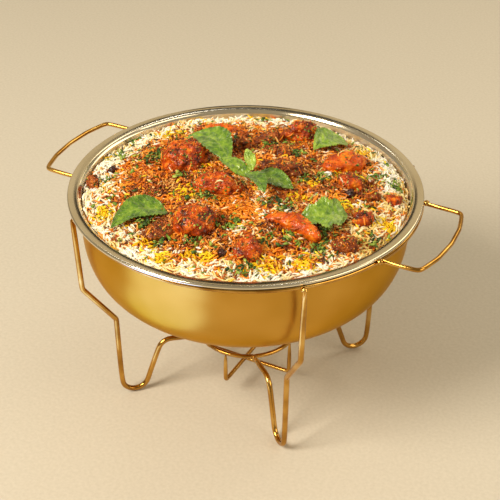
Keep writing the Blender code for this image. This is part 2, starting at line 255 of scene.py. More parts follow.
# %% Turn a profile round the bowl's axis
bowl_low, bowl_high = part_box("bowl")
AXIS_X = (bowl_low.x + bowl_high.x) / 2
RIM_TOP = bowl_high.z
RIM_RADIUS = (bowl_high.x - bowl_low.x) / 2
WALL_RADIUS = RIM_RADIUS - 10 * MM
WALL_TOP = RIM_TOP - 3.5 * MM
BOWL_DEPTH = WALL_TOP - bowl_low.z
SHEET = 1.2 * MM
BEAD = 1.6 * MM                    # radius of the rolled edge
SIDE_POWER, BASE_POWER = 2.4, 3.8  # 2 would be a plain ellipse


def turned(name, profile, steps):
    """A chain of (radius, height) points, spun once round the bowl's axis."""
    mesh = bpy.data.meshes.new(name)
    points = [(AXIS_X + r, 0, z) for r, z in profile]
    mesh.from_pydata(points, [(i, i + 1) for i in range(len(points) - 1)], [])
    obj = bpy.data.objects.new(name, mesh)
    bpy.context.scene.collection.objects.link(obj)
    edit_all(obj, lambda: bpy.ops.mesh.spin(steps=steps, angle=math.tau, center=(AXIS_X, 0, 0), axis=(0, 0, 1)))
    weld(obj, 0.01 * MM)
    edit_all(obj, lambda: bpy.ops.mesh.normals_make_consistent(inside=False))
    return obj


def pan_curve(radius, top, depth, steps=30):
    """From the wall's top to the middle of the base, along a squared ellipse."""
    points = []
    for i in range(steps + 1):
        angle = math.radians(90) * i / steps
        across = math.cos(angle) if i < steps else 0.0
        points.append((radius * across ** (2 / SIDE_POWER), top - depth * math.sin(angle) ** (2 / BASE_POWER)))
    return points


def arc(centre_r, centre_z, radius, start, end, steps):
    """Points round a centre, from one angle to another in degrees."""
    angles = [math.radians(start + (end - start) * i / steps) for i in range(steps + 1)]
    return [(centre_r + radius * math.cos(angle), centre_z + radius * math.sin(angle)) for angle in angles]


print(f"bowl: {BOWL_DEPTH * 1000:.0f} mm deep, its wall {WALL_RADIUS * 1000:.0f} mm from the axis")

# %% [markdown]
# A finished piece has its place in its mesh: its object sits at the origin, unturned and
# unscaled, as the solids' objects do, so a pattern in object coordinates is in real metres.
# It rides on the body of the model and hides the solids that it stands for.

# %% Finish a piece
def apply_modifiers(obj):
    """Turns what the modifiers of a piece do into real points and faces."""
    pick(obj)
    for modifier in list(obj.modifiers):
        bpy.ops.object.modifier_apply(modifier=modifier.name)


def finish_piece(obj, materials, slot, *nodes, sharp_from=None):
    """Applies a piece's modifiers and place, gives it its finish and lets it stand for CAD nodes.
    Edges that bend more than sharp_from degrees stay sharp; without it everything is smooth."""
    apply_modifiers(obj)
    bpy.ops.object.transform_apply(location=True, rotation=True, scale=True)
    obj.data.materials.clear()
    for surface in materials:
        obj.data.materials.append(surface)
    if sharp_from:
        bpy.ops.object.shade_smooth_by_angle(angle=math.radians(sharp_from))
    else:
        bpy.ops.object.shade_smooth()
    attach(obj, "root")
    if nodes:
        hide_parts(*nodes)

# %% The bowl itself
# From the middle of the inside: up the wall, over a rounded lip, across the crowned flange,
# round the rolled edge, and back below the flange and down the outside.
FLANGE_INNER = WALL_RADIUS + 2 * MM
LIP = 1.9 * MM
CROWN = 26.5 * MM
UNDER_LIP = 2.1 * MM
profile = list(reversed(pan_curve(WALL_RADIUS - SHEET, WALL_TOP, BOWL_DEPTH - SHEET)))
profile += arc(FLANGE_INNER + 0.4 * MM, WALL_TOP + 0.85 * MM, LIP, 165, 105, 6)
profile += arc(RIM_RADIUS - BEAD, RIM_TOP - CROWN, CROWN, 102.8, 91, 8)
profile += arc(RIM_RADIUS - BEAD, RIM_TOP - BEAD, BEAD, 90, -115, 14)
profile += [(FLANGE_INNER + 0.6 * MM, RIM_TOP - 1.2 * MM - SHEET)]
profile += arc(FLANGE_INNER + 0.6 * MM, WALL_TOP - 1.2 * MM, UNDER_LIP, 110, 170, 4)
profile += pan_curve(WALL_RADIUS, WALL_TOP - 2 * MM, BOWL_DEPTH - 2 * MM)
bowl = turned("bowl_spun", profile, 288)
# the fourth material is painted shade, for the underside of the rolled edge
BRIGHT, GOLD, SATIN, PAINTED_SHADE = range(4)   # a face is BRIGHT until it is told otherwise
finish_piece(bowl, [bright_steel, gold_coat, satin_steel, painted_shade_steel], "gilt_steel_bowl", "bowl", sharp_from=35)
for face in bowl.data.polygons:
    from_axis = face.center - Vector((AXIS_X, 0, face.center.z))
    outwards = from_axis.dot(face.normal) > 0 or face.normal.z < -0.5
    if from_axis.length < FLANGE_INNER and face.center.z < WALL_TOP - 0.5 * MM:
        face.material_index = GOLD if outwards else SATIN
    # faces under the rolled edge get the painted shade
    elif from_axis.length > RIM_RADIUS - 2 * BEAD and face.center.z < RIM_TOP - 1.35 * BEAD:
        face.material_index = PAINTED_SHADE
print(f"bowl: {len(bowl.data.polygons)} faces, rim {RIM_RADIUS * 2000:.0f} mm across")

# %% [markdown]
# ## The stand
#
# Two rings of wire are closed by welding, and a torus is that shape exactly. The legs,
# handles and the two crossed wires are bent rods. Their solids are tubes of few sides, so a
# copy is welded, its triangles are joined to quads, and a subdivision surface rounds it.
# Subdivision pulls a tube inwards, so the copy is first made that much fatter.

# %% The two rings
def ring(node, wire_radius):
    low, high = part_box(node)
    made = added(bpy.ops.mesh.primitive_torus_add, f"{node}_wire", location=(0, 0, (low.z + high.z) / 2),
                 major_radius=(high.x - low.x) / 2 - wire_radius, minor_radius=wire_radius,
                 major_segments=144, minor_segments=14)
    finish_piece(made, [gilt_wire], "gilt_wire", node)
    print(f"{node}: {len(made.data.polygons)} faces")


ring("top_ring", 2.0 * MM)
ring("burner_ring", 1.9 * MM)

# %% Legs, handles and crossed wires
def copy_node(node, name):
    """A welded copy of a CAD node, free to be reshaped. The node itself is left as it is."""
    pick(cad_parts[node])
    bpy.ops.object.duplicate()
    copy = bpy.context.object
    copy.parent = None
    copy.matrix_world = Matrix.Identity(4)
    for key in list(copy.keys()):
        del copy[key]
    copy.name = name
    bpy.ops.mesh.customdata_custom_splitnormals_clear()
    weld(copy, 0.02 * MM)
    return copy


def subdivide(obj, levels):
    """Adds a subdivision surface, which rounds a mesh of few faces."""
    rounded = obj.modifiers.new("rounded", "SUBSURF")
    rounded.levels = rounded.render_levels = levels


SUBDIVIDED = 0.902   # the share of its radius that an eight-sided tube keeps
bent = [(f"leg_{n}", 2.4 * MM) for n in (1, 2, 3, 4)]
bent += [(f"{kind}_{n}", 1.9 * MM) for kind in ("handle", "burner_wire") for n in (1, 2)]
for node, wire_radius in bent:
    wire = copy_node(node, f"{node}_rod")
    edit_all(wire, lambda: bpy.ops.mesh.tris_convert_to_quads(),
             lambda: bpy.ops.transform.shrink_fatten(value=wire_radius * (1 / SUBDIVIDED - 1)))
    subdivide(wire, 2)
    finish_piece(wire, [gilt_wire], "gilt_wire", node)
print(f"stand: 2 rings and {len(bent)} bent wires")

# %% Where the wires are welded
# Where wires meet, a drop of metal has frozen. Each bead is a small ball, dented a little. The
# legs' upper ends pass behind the ring, so their beads sit further in and lower.
BEAD_SIZE = 2.6 * MM
LEG_BEAD_IN, LEG_BEAD_DOWN = 1.8 * MM, 3.0 * MM


def end_of(node, measure):
    """The middle of the end of a wire: of its points where a measure is greatest."""
    points = [v.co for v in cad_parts[node].data.vertices]
    greatest = max(measure(p) for p in points)
    near = [p for p in points if measure(p) > greatest - 1.2 * MM]
    return sum(near, Vector()) / len(near)


legs = [f"leg_{n}" for n in (1, 2, 3, 4)]
leg_tops = [end_of(leg, lambda p: p.z) for leg in legs]
for top in leg_tops:
    top -= Vector((top.x, top.y, 0)).normalized() * LEG_BEAD_IN + Vector((0, 0, LEG_BEAD_DOWN))
joints = leg_tops + [end_of(leg, lambda p: -math.hypot(p.x, p.y)) for leg in legs]
for node in ("handle_1", "handle_2"):
    low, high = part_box(node)
    out = Vector(((low.x + high.x) / 2, (low.y + high.y) / 2, 0)).normalized()
    across = Vector((-out.y, out.x, 0))
    joints += [end_of(node, lambda p: side * p.dot(across) - p.dot(out)) for side in (-1, 1)]
print(f"{len(joints)} welds")

# %% Weld beads
def roughen(obj, size_mm, strength_mm, kind="CLOUDS", **settings):
    """Adds a displacement by a noise with features so many millimetres across."""
    pattern = bpy.data.textures.new(f"noise_{size_mm}", kind)
    pattern.noise_scale = size_mm * MM
    rough = obj.modifiers.new(f"rough_{size_mm}", "DISPLACE")
    rough.texture = pattern
    rough.strength = strength_mm * MM
    for key, value in settings.items():
        setattr(rough, key, value)


for number, joint in enumerate(joints):
    bead = added(bpy.ops.mesh.primitive_ico_sphere_add, f"weld_bead_{number + 1}",
                 subdivisions=3, radius=BEAD_SIZE, location=joint)
    roughen(bead, 3, 1.2, texture_coords="GLOBAL")
    finish_piece(bead, [gilt_wire], "gilt_wire")
print(f"weld beads of {BEAD_SIZE * 2000:.1f} mm")

# %% [markdown]
# ## The rice
#
# A heap of rice is one body in the solids. Here it becomes a smaller core, coloured like the
# shade between grains, with loose grains over it: each grain is a real little mesh. First
# come the heap's height, the same low humps as in the solid, and the map of the dish: plain
# white rice by the rim, saffron yellow in patches, and rice fried red and brown with masala
# in the middle, where it was turned over with the meat.

# %% The heap's height
RICE_EDGE = RIM_TOP - 6.5 * MM
RICE_RISE = 17 * MM
HEAP_RADIUS = WALL_RADIUS - SHEET - 0.8 * MM
HUMPS = 2.6 * MM
EDGE_SINK = 3.6 * MM


def heap_height(x, y):
    """A low dome with humps. At its edge it reaches the flange in front and sinks a little at the back."""
    away = math.hypot(x - AXIS_X, y) / WALL_RADIUS
    humps = noise.noise(Vector((x, y, 0)) / (30 * MM)) + 0.5 * noise.noise(Vector((x, y, 0.1)) / (14 * MM))
    backwards = ((x - AXIS_X) * -0.3 + y * 0.95) / WALL_RADIUS
    by_edge = min(max((away - 0.86) / 0.12, 0), 1) ** 2
    sunk = min(max(0.45 + 0.8 * backwards, -0.4), 1) * EDGE_SINK * by_edge
    return RICE_EDGE + RICE_RISE * (1 - away ** 2) + HUMPS * humps - sunk


def heap_normal(x, y):
    """The direction straight off the heap at a place."""
    step = 1.5 * MM
    slope_x = (heap_height(x + step, y) - heap_height(x - step, y)) / (2 * step)
    slope_y = (heap_height(x, y + step) - heap_height(x, y - step)) / (2 * step)
    return Vector((-slope_x, -slope_y, 1)).normalized()


print(f"the heap's top is at {heap_height(AXIS_X, 0) * 1000:.0f} mm")

# %% The map of the dish
# Each patch is a place on the heap and a radius, in millimetres. In MIXED patches some masala
# reaches the rim; in CREAM the plain rice is yellower; ORANGE is masala without dark grains.
YELLOW = [(-104, 50, 9), (-106, 88, 8), (-134, -6, 6), (-35, -44, 10), (-46, -5, 8), (-86, -90, 8), (-33, -111, 8),
          (-10, -128, 9), (21, -109, 7), (7, -114, 7), (91, -79, 8), (126, 2, 8), (86, 5, 9), (69, -95, 9),
          (-53, 120, 8), (75, 54, 7), (62, 50, 6), (50, 21, 7), (48, -7, 7), (60, 100, 8)]
BROWN = [(-58, -42, 17), (-111, -8, 7), (-133, -46, 6), (61, 20, 12), (92, 46, 9), (97, 27, 11), (113, 41, 7),
         (-70, -52, 12), (-34, -92, 15), (50, -52, 9), (7, -90, 10), (3, -104, 8), (30, 40, 16), (88, -40, 10),
         (-10, 50, 12), (0, 70, 12), (104, -12, 9)]
WHITE = [(-118, -62, 20), (-105, -84, 16), (-70, -112, 12), (-121, 45, 12), (-90, 90, 12), (112, 60, 14),
         (120, -40, 18), (108, -70, 14), (40, -46, 8), (30, -72, 7), (55, 60, 7), (98, 12, 7),
         (104, -20, 9), (54, 38, 6), (48, -30, 7), (26, -30, 6)]
CREAM = [(116, -20, 32), (60, 105, 14), (118, 40, 16)]
MIXED = [(23, -118, 12), (36, -112, 9), (67, -93, 12), (84, -92, 9), (101, -70, 12), (113, -56, 10),
         (124, -30, 11), (127, -7, 10), (-43, -117, 9), (-64, -113, 9), (-24, -110, 9), (4, -122, 8),
         (126, 23, 9), (-93, -88, 8), (53, -112, 8)]
ORANGE = [(-92, -49, 11), (-113, -26, 9), (-47, -57, 8), (18, -50, 13), (6, -48, 12), (32, -49, 9), (-19, -99, 9),
          (-62, 93, 8), (29, 40, 9), (-100, 8, 8), (66, -80, 8), (28, -104, 8), (75, 10, 8), (-75, -18, 9)]
MASALA_REACH = 121 * MM


def patchy(x, y, patches):
    """How strongly a place belongs to any of the patches, 0 to 1."""
    return max(math.exp(-((x / MM - px) ** 2 + (y / MM - py) ** 2) / radius ** 2) for px, py, radius in patches)


def masala(x, y):
    """How much masala the rice holds at a place, 0 by the rim to 1 in the middle."""
    ragged = 14 * MM * noise.noise(Vector((x, y, 0.2)) / (22 * MM))
    ragged += 9 * MM * noise.noise(Vector((x, y, 0.3)) / (8 * MM))
    inside = (MASALA_REACH + ragged - math.hypot(x - AXIS_X, y)) / (14 * MM)
    return max(min(max(inside, 0), 1) * (1 - 0.75 * patchy(x, y, WHITE)), 0.6 * patchy(x, y, MIXED))


print(f"masala in the middle {masala(0, 0):.2f}, at the rim {masala(0.135, 0):.2f}")

# %% [markdown]
# ### The core
#
# The core is spun like the bowl, then its top is lifted to the heap's height less 3 mm, and
# two displacements give it the lumpy relief of packed rice. It is painted with the colours of
# the rice above it, in shade.

# %% Core of the heap
CORE_DEPTH = 3.0 * MM
CORE_RINGS = 80
core_radius = HEAP_RADIUS - 0.4 * MM
core_top = [(core_radius * i / CORE_RINGS, RICE_EDGE) for i in range(CORE_RINGS + 1)]
core_wall = [(core_radius - 0.1 * MM, RICE_EDGE - 9.5 * MM)]
core_floor = pan_curve(HEAP_RADIUS, WALL_TOP, BOWL_DEPTH - SHEET - 0.6 * MM, 16)
core_floor = [(r, z) for r, z in core_floor if z < RICE_EDGE - 9 * MM]
core = turned("rice_core", core_top + core_wall + core_floor, 150)
for vertex in core.data.vertices:
    if vertex.co.z > RICE_EDGE - 8 * MM:
        vertex.co.z = heap_height(vertex.co.x, vertex.co.y) - CORE_DEPTH
for size_mm, strength_mm in ((7, 2.2), (2.6, 1.2)):
    roughen(core, size_mm, strength_mm, direction="Z")
apply_modifiers(core)
print(f"core: {len(core.data.polygons)} faces")

# %% Paint the core by the map
def paint(obj, name, values):
    """Keeps one number for each point of a mesh, for a material to read."""
    attribute = obj.data.attributes.new(name, "FLOAT", "POINT")
    attribute.data.foreach_set("value", np.asarray(values, np.float32))


amounts = [masala(v.co.x, v.co.y) for v in core.data.vertices]
paint(core, "masala", amounts)
packed_rice, add, here = new_material("packed_rice_in_shade", Roughness=0.7)
amount = add("Attribute", attribute_name="masala")
grit = add("TexNoise", {"Vector": here, "Scale": scale_of(2.5), "Detail": 3.0})
plain = add("ValToRGB", {"Fac": grit}, stops=[(0.35, "DAB878"), (0.65, "F8E8BC")])
fried = add("ValToRGB", {"Fac": grit}, stops=[(0.3, "7A300A"), (0.5, "B4560E"), (0.7, "D88420")])
add("Mix", {"Factor": amount, 6: plain, 7: fried}, data_type="RGBA", to="Base Color")
add("Bump", {"Height": grit, "Strength": 0.6, "Distance": 0.8 * MM}, to="Normal")
finish_piece(core, [packed_rice], "cooked_rice", "rice")
print(f"masala over the core: {np.mean(amounts):.2f} on average")

# %% [markdown]
# ## The mint
#
# A mint leaf is a toothed oval, quilted between its veins. Each leaf starts as a grid with
# its own UV map, along the leaf and across it. The grid is bent to the same line as the
# solid leaf, its edge is cut into teeth, and the panels between the side veins are raised.
# The material draws the veins from the same UV map, so they follow the leaf. The leaves come
# before the rice, so that the grains can keep clear of them.

# %% Leaf shapes
# Base x, y and tip x, y, rise of the tip, width, bow to the left and arch in mm, and turn in
# degrees, close to the solids' own. Then how far along the leaf is widest, how light it is
# (young leaves are paler), and how many mm it lies below its solid's lowest point.
MINT = {
    "mint_big": (-17, -1, -70, 23, 4, 30, -7, 6, -12, 0.58, 0.5, 0),
    "mint_oval": (8, 3, 42, -1, -3, 20, -3, 4, 10, 0.42, 0.48, 0),
    "mint_folded": (8, -14, -26, -2, 3, 15, 2, 4, -10, 0.4, 0.55, 0),
    "mint_lower": (6, -14, 33, -35, 0, 15, 2, 4, 4, 0.4, 0.46, 0),
    "mint_left": (-39, -71, -66, -111, -4, 25, -7, 4, -16, 0.27, 0.48, 5.5),
    "mint_round": (98, -17, 65, -34, 0, 34, 7, 5, -18, 0.42, 0.55, 0),
    "mint_back": (28, 69, 44, 105, -7, 24, 4, 6, 18, 0.56, 0.62, 6),
    "mint_upright": (10, -13, -1, -1, 11, 10, 0, 2, 0, 0.4, 0.76, 0),
}
SIDE_VEINS = 9
TEETH = 15
LOBES = {"mint_round": 0.24}   # how deep the rounded lobes of one leaf are cut


def vein_wave(u, v):
    """1 on a side vein and 0 midway between two; v is -1 to 1 across the leaf."""
    return 0.5 + 0.5 * math.cos(math.tau * (u * SIDE_VEINS - abs(v) * 1.6))


def make_leaf(node, row):
    base_x, base_y, tip_x, tip_y, rise, width, bow, arch, turn, widest, light, sink = row
    along = Vector((tip_x - base_x, tip_y - base_y)) * MM
    leaf = added(bpy.ops.mesh.primitive_grid_add, f"{node}_leaf", x_subdivisions=72, y_subdivisions=20,
                 size=2, calc_uvs=True)
    seed = Vector((base_x, tip_y, width)) * 0.37
    for vertex in leaf.data.vertices:
        u, v = (vertex.co.x + 1) / 2, vertex.co.y
        share = math.sin(math.pi * u ** (math.log(0.5) / math.log(widest))) ** 0.7 if 0 < u < 1 else 0.0
        inside = min(1, 3 * share)
        edge = 1 - 0.09 * abs(v) * (0.5 + 0.5 * math.cos(math.tau * u * TEETH + 1))
        edge -= LOBES.get(node, 0) * abs(v) * (0.5 + 0.5 * math.cos(math.tau * (u * 3 + 0.1 * v)))
        side = v * (max(width * MM / 2 * share, 0.7 * MM) * edge)
        wavy = 1.6 * MM * noise.noise(Vector((u * 3.5, v * 1.3, 0)) + seed) * inside
        crinkle = 0.9 * MM * noise.noise(Vector((u * 11, v * 3.5, 0.5)) + seed) * inside
        quilt = 0.35 * MM * (1 - vein_wave(u, v)) * inside * (1 - abs(v) ** 4)
        groove = -0.5 * MM * math.exp(-(v * 9) ** 2)
        curled = arch * MM * math.sin(math.pi * u) + rise * MM * u + 0.12 * width * MM * v * v * share
        vertex.co = (u * along.length, side + bow * MM * math.sin(math.pi * u),
                     curled + wavy + crinkle + quilt + groove + side * math.tan(math.radians(turn)))
    thick = leaf.modifiers.new("thickness", "SOLIDIFY")
    thick.thickness = 0.5 * MM
    thick.offset = 1
    apply_modifiers(leaf)
    leaf.rotation_euler.z = math.atan2(along.y, along.x)
    leaf.location = (base_x * MM, base_y * MM, 0)
    pick(leaf)
    bpy.ops.object.transform_apply(location=True, rotation=True, scale=True)
    lowest = min(v.co.z for v in leaf.data.vertices)
    leaf.location.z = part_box(node)[0].z - lowest - sink * MM
    paint(leaf, "tone", [light] * len(leaf.data.vertices))
    return leaf


print(f"{len(MINT)} leaves to cut, with {TEETH} teeth along each edge")

# %% Leaf material
# A fresh leaf has a thin wax over soft green tissue: a coat gives the broken shine, the paler
# veins and the puckered relief between them give the leaf its structure.
mint_leaf, add, here = new_material("fresh_mint_leaf", Roughness=0.34, IOR=1.45, Sheen_Weight=0.15,
                                     Coat_Weight=0.5, Coat_Roughness=0.14)
parts = add("SeparateXYZ", {0: here.node.outputs["UV"]})
across = add("Math", {0: parts.outputs["Y"], 1: 0.5}, operation="SUBTRACT")
side = add("Math", {0: across}, operation="ABSOLUTE")
slant = add("Math", {0: side, 1: -3.2}, operation="MULTIPLY")
phase = add("Math", {0: parts.outputs["X"], 1: float(SIDE_VEINS), 2: slant}, operation="MULTIPLY_ADD")
turns = add("Math", {0: phase, 1: math.tau}, operation="MULTIPLY")
cosine = add("Math", {0: turns}, operation="COSINE")
side_vein = add("MapRange", {"Value": cosine, "From Min": 0.9, "From Max": 1.0})
midrib = add("MapRange", {"Value": side, "From Min": 0.045, "From Max": 0.015})
veins = add("Math", {0: side_vein, 1: midrib}, operation="MAXIMUM")
mottle = add("TexNoise", {"Vector": here, "Scale": scale_of(6), "Detail": 5.0, "Roughness": 0.65})
light = add("Attribute", attribute_name="tone")
lighter = add("Math", {0: light, 1: -0.5}, operation="ADD")
shade = add("Math", {0: mottle, 1: lighter}, operation="ADD")
green = add("ValToRGB", {"Fac": shade},
            stops=[(0.28, "2C4C0C"), (0.45, "4E7612"), (0.6, "7A9E26"), (0.85, "AEC84A")])
faint = add("Math", {0: veins, 1: 0.4}, operation="MULTIPLY")
add("Mix", {"Factor": faint, 6: green, 7: linear("9CB644")}, data_type="RGBA", to="Base Color")
cells = add("TexVoronoi", {"Vector": here, "Scale": scale_of(2.1)}, feature="SMOOTH_F1")
crinkle = add("Math", {0: cells, 1: -0.6, 2: mottle}, operation="MULTIPLY_ADD")
add("Bump", {"Height": crinkle, "Strength": 0.9, "Distance": 1.1 * MM}, to="Normal")
print(f"{mint_leaf.name}: {len(mint_leaf.node_tree.nodes)} nodes")

# %% Lay the leaves
mint = []
for node, row in MINT.items():
    leaf = make_leaf(node, row)
    mint.append(leaf)
    finish_piece(leaf, [mint_leaf], "mint_leaf", node, sharp_from=50)
print(f"{len(MINT)} mint leaves")

# %% [markdown]
# ### One grain, then thousands
#
# Cooked basmati is 8 to 11 mm long and under 2 mm thick, with blunt tips and a slight bow.
# One grain is a five-sided rod with two extra cuts, narrowed at its tips and bowed. Three
# differently bowed grains are modelled once, and arrays of places copy them into one mesh for
# each kind of rice. With some forty faces a grain, thousands stay light.

# %% Model the grains
GRAIN_LENGTH = 9.0 * MM
GRAIN_WIDTH = 1.75 * MM


def as_arrays(obj):
    """The points and triangles of a small model, which is then removed."""
    points = np.array([v.co for v in obj.data.vertices], np.float32)
    faces = np.array([f.vertices for f in obj.data.polygons], np.int32)
    bpy.data.objects.remove(obj, do_unlink=True)
    return points, faces


def rod(name, length, width, thickness, bow, tip=0.5):
    """A short bowed rod along X, with five sides and rounded tips, as arrays."""
    made = added(bpy.ops.mesh.primitive_cylinder_add, name, vertices=5, radius=width / 2, depth=length * 0.9,
                 end_fill_type="TRIFAN", rotation=(0, math.radians(90), 0))
    bpy.ops.object.transform_apply(location=False, rotation=True, scale=False)
    for cut in (-0.17, 0.17):
        edit_all(made, lambda: bpy.ops.mesh.bisect(plane_co=(cut * length, 0, 0), plane_no=(1, 0, 0)))
    for vertex in made.data.vertices:
        x, y, z = vertex.co
        if abs(x) > 0.4 * length:
            if math.hypot(y, z) < 0.1 * width:
                x = math.copysign(length / 2, x)
            y, z = y * tip, z * tip
        vertex.co = (x, y + bow * (1 - (2 * x / length) ** 2), z * thickness / width)
    edit_all(made, lambda: bpy.ops.mesh.quads_convert_to_tris())
    return as_arrays(made)


grains = [rod("grain", GRAIN_LENGTH, GRAIN_WIDTH, GRAIN_WIDTH * 0.85, bow * MM) for bow in (0.2, 0.9, 1.8)]
print(f"one grain: {len(grains[0][1])} triangles")

# %% Copy small shapes to many places
def copies(name, shapes, places, tones):
    """One mesh with a copy of a shape at every place, and a tone for each copy."""
    all_points, all_faces, all_tones, start = [], [], [], 0
    which = chance.integers(len(shapes), size=len(places))
    for number, (points, faces) in enumerate(shapes):
        those = places[which == number]
        if not len(those):
            continue
        placed = np.einsum("nij,vj->nvi", those[:, :3, :3], points) + those[:, None, :3, 3]
        shift = start + np.arange(len(those))[:, None, None] * len(points)
        all_points.append(placed.reshape(-1, 3))
        all_faces.append((faces[None] + shift).reshape(-1, 3))
        all_tones.append(np.repeat(tones[which == number], len(points)))
        start += len(those) * len(points)
    mesh = bpy.data.meshes.new(name)
    mesh.from_pydata(np.concatenate(all_points).tolist(), [], np.concatenate(all_faces).tolist())
    mesh.validate()
    obj = bpy.data.objects.new(name, mesh)
    bpy.context.scene.collection.objects.link(obj)
    paint(obj, "tone", np.concatenate(all_tones))
    return obj

# %% [markdown]
# Grains keep clear of the toppings: a grain is left out where a piece of chicken fills its
# place, or where a leaf lies on it. Rays cast straight up and down through the solids of the
# chicken and through the laid leaves tell the places apart.

# %% What lies on the rice
chicken_nodes = sorted(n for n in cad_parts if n.startswith("chicken_"))
spice_nodes = sorted(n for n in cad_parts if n.startswith("spice_"))
UP, DOWN = Vector((0, 0, 1)), Vector((0, 0, -1))


def ray_target(obj):
    """The box round a mesh and a search tree of its faces, to cast rays at."""
    places = [v.co for v in obj.data.vertices]
    tree = BVHTree.FromPolygons(places, [f.vertices for f in obj.data.polygons])
    return Vector(np.min(places, axis=0)), Vector(np.max(places, axis=0)), tree


toppings = [ray_target(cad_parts[n]) for n in chicken_nodes + spice_nodes]
leaves = [ray_target(leaf) for leaf in mint]


def extent_at(topping, x, y):
    """The lowest and highest point of a topping above a place, or nothing."""
    low, high, tree = topping
    if not (low.x < x < high.x and low.y < y < high.y):
        return None
    top = tree.ray_cast(Vector((x, y, 0.3)), DOWN)[0]
    bottom = tree.ray_cast(Vector((x, y, 0.1)), UP)[0]
    return (bottom.z, top.z) if top and bottom else None


def is_free(x, y, z, margin=0.8 * MM):
    """True where a small thing at this place touches no topping and no leaf."""
    for topping in toppings:
        extent = extent_at(topping, x, y)
        if extent and extent[0] - margin < z < extent[1] + margin:
            return False
    for leaf in leaves:
        extent = extent_at(leaf, x, y)
        if extent and z > extent[0] - 2 * margin:
            return False
    return True


print(f"{len(toppings)} toppings and {len(leaves)} leaves lie on the rice")

# %% Places for things on the heap
GOLDEN_TURN = math.pi * (3 - math.sqrt(5))
SHAKE = 0.8   # of the gap between two places


def lay(x, y, lift, heading, tilt, roll, size):
    """Where a small thing lies: on the slope of the heap, turned, tipped up and rolled."""
    normal = heap_normal(x, y)
    slope = UP.rotation_difference(normal).to_matrix()
    turn = Matrix.Rotation(heading, 3, "Z") @ Matrix.Rotation(-tilt, 3, "Y") @ Matrix.Rotation(roll, 3, "X")
    basis = slope @ turn @ Matrix.Diagonal(size)
    place = basis.to_4x4()
    place.translation = Vector((x, y, heap_height(x, y))) + normal * lift
    return place


def spread(count, reach):
    """Evenly scattered places in a disc, as on a sunflower's head, then shaken."""
    number = np.arange(count)
    radius = reach * np.sqrt((number + 0.5) / count)
    angle = number * GOLDEN_TURN
    gap = reach * math.sqrt(math.pi / count)
    shaken = chance.normal(0, SHAKE * gap, (count, 2))
    return np.stack([AXIS_X + radius * np.cos(angle), radius * np.sin(angle)], 1) + shaken


print(f"each place is turned {math.degrees(GOLDEN_TURN):.1f} degrees from the one before")

# %% [markdown]
# ### Four kinds of rice
#
# Each grain draws its kind from the map: plain, saffron, masala red or browned. Most grains
# lie nearly flat; some stand up, more of them by the rim, where the rice is loose and fluffy.

# %% Scatter the grains
GRAIN_COUNT = 17500
PLUMP = 1.12   # plain rice is not fried, and stays fatter
kinds = {"plain": [], "saffron": [], "masala": [], "browned": []}
for x, y in spread(GRAIN_COUNT, HEAP_RADIUS - 0.5 * MM):
    to_wall = HEAP_RADIUS - math.hypot(x - AXIS_X, y)
    if to_wall < 1.0 * MM:
        continue
    red = masala(x, y)
    lift = chance.uniform(-2.2, 0.6) * MM
    stands = chance.random() < 0.05 + 0.13 * (1 - red)
    tilt = math.radians(chance.uniform(25, 60) if stands else chance.normal(0, 13))
    heading = chance.uniform(0, math.tau)
    if to_wall < 7 * MM:   # by the wall the grains lie along it
        side = chance.choice((-1, 1))
        turned_in = chance.uniform(0, 0.8 if to_wall > 3 * MM else 0.35)
        heading = math.atan2(y, x - AXIS_X) + side * (math.pi / 2 + turned_in)
        tilt = min(abs(tilt), 0.7)
    if not is_free(x, y, heap_height(x, y) + lift):
        continue
    size = (chance.uniform(0.75, 1.2) * (1 - 0.2 * red), chance.uniform(0.85, 1.15), chance.uniform(0.85, 1.15))
    draw = chance.random()
    yellow = max(0.03, 1.2 * patchy(x, y, YELLOW))
    orange = patchy(x, y, ORANGE)
    brown = red * (0.12 + 0.8 * patchy(x, y, BROWN)) * (1 - 0.8 * orange)
    if draw < yellow:
        kind = "saffron"
    elif draw < yellow + brown:
        kind = "browned"
    elif chance.random() < 0.08 + 0.90 * red:
        kind = "masala"
    else:
        kind = "plain"
    shade = 0.47 + 0.65 * noise.noise(Vector((x, y, 0.4)) / (11 * MM)) + chance.normal(0, 0.14)
    if kind == "masala":
        shade += (0.6 - shade) * 0.85 * orange + 0.2 * (1 - red)
        if chance.random() < 0.1 * (1 - orange):
            shade = chance.uniform(0.8, 1.0)
    elif kind == "plain":
        shade += 0.12 - 0.45 * patchy(x, y, CREAM)
        size = (size[0] * 1.08, size[1] * PLUMP, size[2] * PLUMP)
    place = lay(x, y, lift, heading, tilt, chance.uniform(0, math.tau), size)
    kinds[kind].append((np.array(place), min(max(shade, 0), 1)))
print({kind: len(places) for kind, places in kinds.items()})

# %% [markdown]
# Cooked rice is a wet starch gel: smooth, a little glossy and slightly see-through, which the
# eye reads as pale edges and few dark shadows. The tone kept with each grain picks a colour
# from a ramp, and a fine noise along the grain breaks it up.

# %% Rice materials
def toned_material(name, stops, grain_mm, uneven, relief=0, **sockets):
    """A material that takes its colour from the tone of each copy, made uneven by a fine noise."""
    made, add, here = new_material(name, **sockets)
    tone = add("Attribute", attribute_name="tone")
    mottle = add("TexNoise", {"Vector": here, "Scale": scale_of(grain_mm), "Detail": 2.0})
    shift = add("Math", {0: mottle, 1: uneven, 2: -uneven / 2}, operation="MULTIPLY_ADD")
    place = add("Math", {0: tone, 1: shift}, operation="ADD")
    add("ValToRGB", {"Fac": place}, stops=stops, to="Base Color")
    if relief:
        add("Bump", {"Height": mottle, "Strength": relief, "Distance": 0.3 * MM}, to="Normal")
    return made


